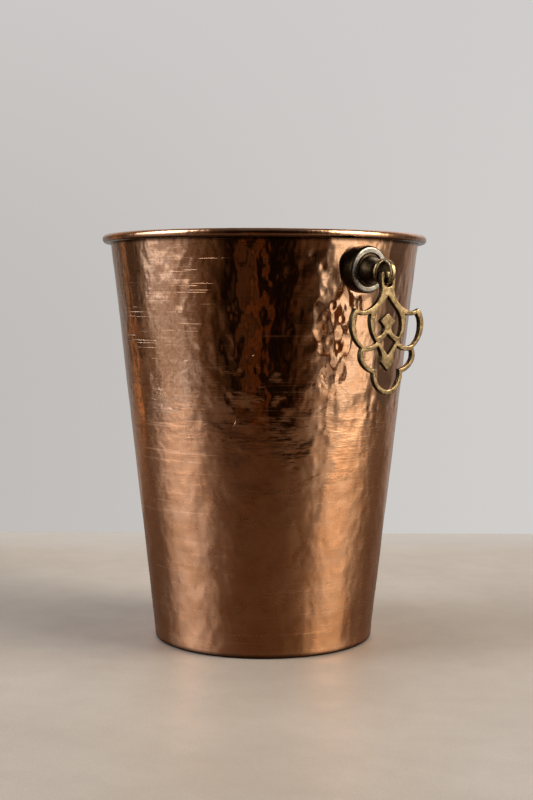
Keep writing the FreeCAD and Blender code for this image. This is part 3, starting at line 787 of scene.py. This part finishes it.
def smooth_through(pts, per=7):
    """Catmull-Rom through the points, ends included."""
    if len(pts) == 2:
        return [pts[0], pts[1]]
    P = [np.array(p, float) for p in pts]
    P = [2 * P[0] - P[1]] + P + [2 * P[-1] - P[-2]]
    out = []
    for i in range(1, len(P) - 2):
        a, b, c, d = P[i - 1], P[i], P[i + 1], P[i + 2]
        for t in np.linspace(0, 1, per, endpoint=False):
            out.append(tuple(0.5 * (2 * b + (c - a) * t + (2 * a - 5 * b + 4 * c - d) * t * t + (3 * b - a - 3 * c + d) * t ** 3)))
    out.append(tuple(P[-2]))
    return out


def chain(segs):
    """One open run of points through consecutive segments."""
    out = []
    for s in segs:
        p = smooth_through(s)
        out += p if not out else p[1:]
    return out


def mirror(run):
    return [(-x, y) for x, y in run]


def loops():
    top = [(3.38, 0.18)] + [(3.38 + 1.68 * math.sin(math.radians(a)), 0.18 - 1.68 + 1.68 * math.cos(math.radians(a))) for a in range(10, 90, 10)]
    right = top + chain(OUTER)
    outer = right + mirror(right)[::-1][1:]
    tear = chain([TEAR_SIDE] + ARM_TOP)
    tear = tear + mirror(tear)[::-1][1:-1]
    kite = chain(KITE)
    kite = kite + mirror(kite)[::-1][1:-1]
    lobe = chain(LOBE)[:-1]
    low_out = chain(LOW_SIDE)
    low_in = chain(LOW_TOP)
    low = low_out + mirror(low_out)[::-1][1:] + mirror(low_in)[1:] + low_in[::-1][1:-1]
    hole = [(-2.9, -3.6), (2.9, -3.6), (2.9, -5.3)] + [(2.9 * math.cos(math.radians(a)), -5.3 - 2.6 * math.sin(math.radians(a))) for a in range(10, 171, 10)] + [(-2.9, -5.3)]
    return [outer, tear, kite, lobe, mirror(lobe), low, hole]


def make_ornament(side):
    """Pierced plate with a softened edge all round, cut from the outline above."""
    bev = 0.42
    cu = bpy.data.curves.new("ornament_" + side, "CURVE")
    cu.dimensions = "2D"
    cu.fill_mode = "BOTH"
    cu.extrude = (PLATE_T / 2 - bev)
    cu.bevel_depth = bev
    cu.bevel_resolution = 3
    cu.offset = -bev
    for loop in loops():
        sp = cu.splines.new("POLY")
        sp.points.add(len(loop) - 1)
        for p, (x, y) in zip(sp.points, loop):
            p.co = (x, y, 0, 1)
        sp.use_cyclic_u = True
    tmp = bpy.data.objects.new("tmp_curve", cu)
    bpy.context.scene.collection.objects.link(tmp)
    bpy.context.view_layer.update()
    dg = bpy.context.evaluated_depsgraph_get()
    me = bpy.data.meshes.new_from_object(tmp.evaluated_get(dg))
    bpy.data.objects.remove(tmp)
    xc = EYE_X + PLATE_BACK + PLATE_T / 2
    m = Matrix(((0, 0, MM, xc * MM), (MM, 0, 0, 0), (0, MM, 0, EYE_Z * MM), (0, 0, 0, 1)))
    if side == "left":
        m = Matrix.Rotation(math.pi, 4, "Z") @ m
    me.transform(m)
    me.name = "ornament_" + side
    ob = bpy.data.objects.new("ornament_" + side, me)
    bpy.context.scene.collection.objects.link(ob)
    import bmesh
    bm = bmesh.new()
    bm.from_mesh(me)
    bmesh.ops.remove_doubles(bm, verts=bm.verts, dist=2e-6)
    bmesh.ops.recalc_face_normals(bm, faces=bm.faces)
    bm.to_mesh(me)
    bm.free()
    me.materials.clear()
    for mt in (M_BRASS, M_BRASS_EDGE, M_BRASS_SHADE):
        me.materials.append(mt)
    # painted shade: the cut sides take the near-black brass; the bevels the rubbed brass, the faces the antique brass
    idx = []
    for p in me.polygons:
        a = abs(p.normal.x)
        idx.append(0 if a > 0.97 else (1 if a > 0.30 else 2))
    me.polygons.foreach_set("material_index", np.array(idx, np.int32))
    me.polygons.foreach_set("use_smooth", np.full(len(me.polygons), True))
    me.update()
    sharpen(ob, 32)
    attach(ob, "ornament_" + side)
    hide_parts("pendant_" + side)


make_ornament("right")
make_ornament("left")


# ------------------------------------------------------------------ studio: table top, lights, pale surroundings
def table_material():
    g = Graph("pale_table")
    P = g.coords()
    big = g.noise(P, 4.5, 5, 0.6, 0.5)
    mid = g.noise(P, 32.0, 5, 0.65)
    small = g.noise(P, 900.0, 3, 0.6)
    base = g.mixc(g.ramp(big, 0.3, 0.7), (0.342, 0.303, 0.272), (0.396, 0.361, 0.333))
    base = g.mixc(g.math("MULTIPLY", g.ramp(mid, 0.35, 0.7), 0.25), base, (0.300, 0.263, 0.235))
    base = g.mixc(g.math("MULTIPLY", g.ramp(small, 0.35, 0.65), 0.22), base, (0.215, 0.194, 0.176))
    shade = g.ramp(g.dot(P, tuple(RIGHT - BACK * 0.5)), -0.30, 0.14, 0.98, 1.0)
    # a soft contact shade round the foot
    flat = g.node("ShaderNodeVectorMath", operation="MULTIPLY")
    g.link(P, flat.inputs[0])
    flat.inputs[1].default_value = (1.0, 1.0, 0.0)
    reach = g.node("ShaderNodeVectorMath", operation="LENGTH")
    g.link(flat.outputs[0], reach.inputs[0])
    shade = g.math("MULTIPLY", shade, g.ramp(reach.outputs["Value"], 0.06, 0.19, 0.84, 1.0))
    n = g.node("ShaderNodeVectorMath", operation="SCALE")
    g.link(base, n.inputs[0])
    g.link(shade, n.inputs["Scale"])
    base = n.outputs[0]
    # the far edge melts into the pale wall
    base = g.mixc(g.ramp(g.dot(P, tuple(-BACK)), 0.26, 0.376, 0.0, 0.75), base, (0.400, 0.385, 0.372))
    r = g.math("ADD", 0.42, g.math("MULTIPLY", mid, 0.20))
    # painted shade: every ray but the camera's finds the table dark brown, so the copper reflects it dark
    seen = g.node("ShaderNodeLightPath").outputs["Is Camera Ray"]
    base = g.mixc(seen, (0.055, 0.029, 0.013), base)
    return g.shader(base, r, 0.0, g.bump(small, 0.00006, 0.5), spec=0.55)


def make_table():
    """A thick slab, square to the camera."""
    back, front, side = -0.376, 0.46, 0.72
    x = [(-side, front), (side, front), (side, back), (-side, back)]
    V, F = [], []
    for zz in (0.0, -0.04):
        for sx, sb in [(-side, front), (side, front), (side, back), (-side, back)]:
            p = RIGHT * sx + BACK * sb
            V.append((p.x, p.y, zz))
    F = [(0, 1, 2, 3), (7, 6, 5, 4), (0, 4, 5, 1), (1, 5, 6, 2), (2, 6, 7, 3), (3, 7, 4, 0)]
    ob = new_object("table_top", V, F, [table_material()], smooth=False)


make_table()


def softbox(name, az, dist, width, z0, z1, power, color, camera=False, spread=math.pi):
    d = BACK * math.cos(math.radians(az)) + RIGHT * math.sin(math.radians(az))
    li = bpy.data.lights.new(name, "AREA")
    li.shape = "RECTANGLE"
    li.size, li.size_y = width, z1 - z0
    li.energy = power
    li.color = color
    li.spread = spread
    ob = bpy.data.objects.new(name, li)
    bpy.context.scene.collection.objects.link(ob)
    pos = d * dist + Vector((0, 0, (z0 + z1) / 2))
    ob.location = pos
    ob.rotation_mode = "QUATERNION"
    ob.rotation_quaternion = (-d).to_track_quat("-Z", "Y")
    ob.visible_camera = False
    return ob



def overhead(power):
    li = bpy.data.lights.new("overhead", "AREA")
    li.shape = "RECTANGLE"
    li.size, li.size_y = 1.3, 1.0
    li.energy = power
    li.color = (1.0, 0.985, 0.97)
    ob = bpy.data.objects.new("overhead", li)
    bpy.context.scene.collection.objects.link(ob)
    ob.location = Vector((0, 0, 1.6)) - BACK * 0.25
    ob.visible_camera = False
    ob.visible_glossy = False
    return ob


overhead(5.0)
side_light = softbox("side_light", 62, 1.3, 0.8, 0.15, 1.1, 7.0, (1.0, 0.98, 0.95))
side_light.visible_glossy = False


LOW = [(-180, (0.40, 0.385, 0.37)), (-136, (0.22, 0.15, 0.10)), (-131, (0.46, 0.22, 0.09)),
       (-126, (0.17, 0.10, 0.055)), (-112, (0.12, 0.08, 0.053)), (-101, (0.22, 0.165, 0.12)),
       (-94, (0.42, 0.37, 0.33)), (-68, (0.40, 0.35, 0.31)), (-62, (0.17, 0.115, 0.08)), (-46, (0.105, 0.064, 0.038)),
       (-36, (0.040, 0.021, 0.009)), (-27, (0.018, 0.009, 0.004)), (-24, (0.004, 0.002, 0.001)), (-20, (0.010, 0.005, 0.002)),
       (-17, (0.050, 0.021, 0.008)), (-11, (0.042, 0.018, 0.007)), (-9, (0.012, 0.005, 0.002)), (-6.5, (0.105, 0.036, 0.010)),
       (-4, (0.030, 0.010, 0.003)), (-1.5, (0.075, 0.024, 0.006)), (1, (0.010, 0.004, 0.0015)), (6, (0.005, 0.0025, 0.001)),
       (12, (0.004, 0.002, 0.0008)), (14, (0.022, 0.008, 0.002)), (16, (0.004, 0.002, 0.0008)), (20, (0.006, 0.003, 0.0012)), (27, (0.038, 0.016, 0.006)), (41, (0.080, 0.046, 0.024)),
       (50, (0.14, 0.12, 0.10)), (56, (0.30, 0.28, 0.25)), (60, (0.16, 0.13, 0.10)), (64, (0.50, 0.45, 0.37)),
       (69, (2.10, 1.98, 1.70)), (75, (2.10, 1.98, 1.70)), (78, (0.42, 0.36, 0.27)), (90, (0.62, 0.56, 0.44)),
       (96, (0.24, 0.20, 0.15)), (108, (0.20, 0.16, 0.12)), (130, (0.20, 0.185, 0.17)), (180, (0.40, 0.385, 0.37))]
HIGH = [(-180, (0.32, 0.31, 0.30)), (-150, (0.22, 0.20, 0.185)), (-137, (0.10, 0.075, 0.055)), (-131, (0.25, 0.145, 0.080)), (-124, (0.070, 0.046, 0.030)), (-112, (0.060, 0.040, 0.026)),
        (-103, (0.20, 0.17, 0.14)), (-97, (0.92, 0.92, 0.91)), (-62, (0.98, 0.97, 0.96)), (-55, (0.22, 0.17, 0.13)),
        (-42, (0.060, 0.036, 0.021)), (-26, (0.008, 0.004, 0.0016)), (0, (0.006, 0.0028, 0.0010)), (26, (0.008, 0.004, 0.0016)),
        (42, (0.04, 0.024, 0.013)), (51, (0.34, 0.29, 0.22)), (57, (1.18, 1.06, 0.84)), (91, (1.18, 1.06, 0.84)),
        (98, (0.34, 0.30, 0.24)), (110, (0.090, 0.068, 0.050)), (126, (0.105, 0.082, 0.066)), (138, (0.24, 0.20, 0.17)), (152, (0.36, 0.33, 0.31)),
        (180, (0.32, 0.31, 0.30))]


def make_world():
    w = bpy.data.worlds.new("studio")
    bpy.context.scene.world = w
    w.use_nodes = True
    t = w.node_tree
    t.nodes.clear()
    out = t.nodes.new("ShaderNodeOutputWorld")
    tc = t.nodes.new("ShaderNodeTexCoord")

    def dot(v):
        n = t.nodes.new("ShaderNodeVectorMath")
        n.operation = "DOT_PRODUCT"
        t.links.new(tc.outputs["Generated"], n.inputs[0])
        n.inputs[1].default_value = v
        return n.outputs["Value"]

    def math_(op, a, b=None):
        n = t.nodes.new("ShaderNodeMath")
        n.operation = op
        for i, v in enumerate((a, b)):
            if v is None:
                continue
            if isinstance(v, bpy.types.NodeSocket):
                t.links.new(v, n.inputs[i])
            else:
                n.inputs[i].default_value = v
        return n.outputs[0]

    def rng_(v, a, b, c, d):
        n = t.nodes.new("ShaderNodeMapRange")
        n.interpolation_type = "SMOOTHSTEP"
        t.links.new(v, n.inputs["Value"])
        for k, x in zip(("From Min", "From Max", "To Min", "To Max"), (a, b, c, d)):
            n.inputs[k].default_value = x
        return n.outputs["Result"]

    def mix(f, a, b):
        n = t.nodes.new("ShaderNodeMix")
        n.data_type = "RGBA"
        fac = [s for s in n.inputs if s.name == "Factor" and s.type == "VALUE"][0]
        A = [s for s in n.inputs if s.name == "A" and s.type == "RGBA"][0]
        B = [s for s in n.inputs if s.name == "B" and s.type == "RGBA"][0]
        t.links.new(f, fac)
        for s, v in ((A, a), (B, b)):
            if isinstance(v, bpy.types.NodeSocket):
                t.links.new(v, s)
            else:
                s.default_value = (*v, 1)
        return [o for o in n.outputs if o.type == "RGBA"][0]

    def ramp(v, stops):
        if len(stops) > 30:
            # one colour ramp holds 32 stops, so a longer list is split in two
            k = len(stops) // 2
            deg, a, b = stops[k][0], ramp(v, stops[:k + 1]), ramp(v, stops[k:])
            past = math_("GREATER_THAN", v, (deg + 180.0) / 360.0)
            return mix(past, a, b)
        n = t.nodes.new("ShaderNodeValToRGB")
        cr = n.color_ramp
        cr.interpolation = "LINEAR"
        while len(cr.elements) < len(stops):
            cr.elements.new(0.5)
        for e, (deg, c) in zip(cr.elements, stops):
            e.position = (deg + 180.0) / 360.0
            e.color = (*c, 1)
        t.links.new(v, n.inputs[0])
        return n.outputs["Color"]

    front, side, up = dot(tuple(BACK)), dot(tuple(RIGHT)), dot((0, 0, 1))
    turn = math_("ARCTAN2", side, front)
    turn = math_("ADD", math_("MULTIPLY", turn, 1 / (2 * math.pi)), 0.5)
    low, high = ramp(turn, LOW), ramp(turn, HIGH)
    # the light panels stand just below the horizon of the table and reach well above it
    foot = math_("ADD", up, rng_(side, 0.0, 0.8, 0.0, 0.10))
    room = mix(rng_(foot, -0.134, -0.112, 0.0, 1.0), low, high)
    # the panels are brightest high up, in a narrower strip
    core = ramp(turn, [(d, (v, v, v)) for d, v in ((-180, .22), (-104, .12), (-95, .75), (-90, 1.0), (-71, 1.0), (-65, .75),
                (-57, .12), (0, .05), (44, .10), (52, .75), (57, 1.0), (82, 1.0), (89, .65), (98, .14), (180, .22))])
    gain = t.nodes.new("ShaderNodeVectorMath")
    gain.operation = "SCALE"
    t.links.new(room, gain.inputs[0])
    t.links.new(math_("ADD", 1.0, math_("MULTIPLY", rng_(up, 0.0, 0.40, 0.0, 7.6), core)), gain.inputs["Scale"])
    room = gain.outputs[0]
    room = mix(rng_(up, 0.62, 0.90, 0.0, 1.0), room, (0.12, 0.115, 0.11))
    # what the camera sees past the table: a plain pale wall, a little lighter on one side
    wall = mix(rng_(side, -0.25, 0.25, 0.0, 1.0), (0.520, 0.500, 0.485), (0.640, 0.620, 0.605))
    wall = mix(rng_(up, -0.05, 0.35, 0.0, 1.0), wall, (0.62, 0.60, 0.595))
    bg1 = t.nodes.new("ShaderNodeBackground")
    bg2 = t.nodes.new("ShaderNodeBackground")
    t.links.new(room, bg1.inputs["Color"])
    t.links.new(wall, bg2.inputs["Color"])
    lp = t.nodes.new("ShaderNodeLightPath")
    ms = t.nodes.new("ShaderNodeMixShader")
    t.links.new(lp.outputs["Is Camera Ray"], ms.inputs["Fac"])
    t.links.new(bg1.outputs[0], ms.inputs[1])
    t.links.new(bg2.outputs[0], ms.inputs[2])
    t.links.new(ms.outputs[0], out.inputs["Surface"])


make_world()
bpy.context.scene.view_settings.view_transform = "Standard"
bpy.context.scene.view_settings.look = "None"
bpy.context.scene.view_settings.exposure = 0.0
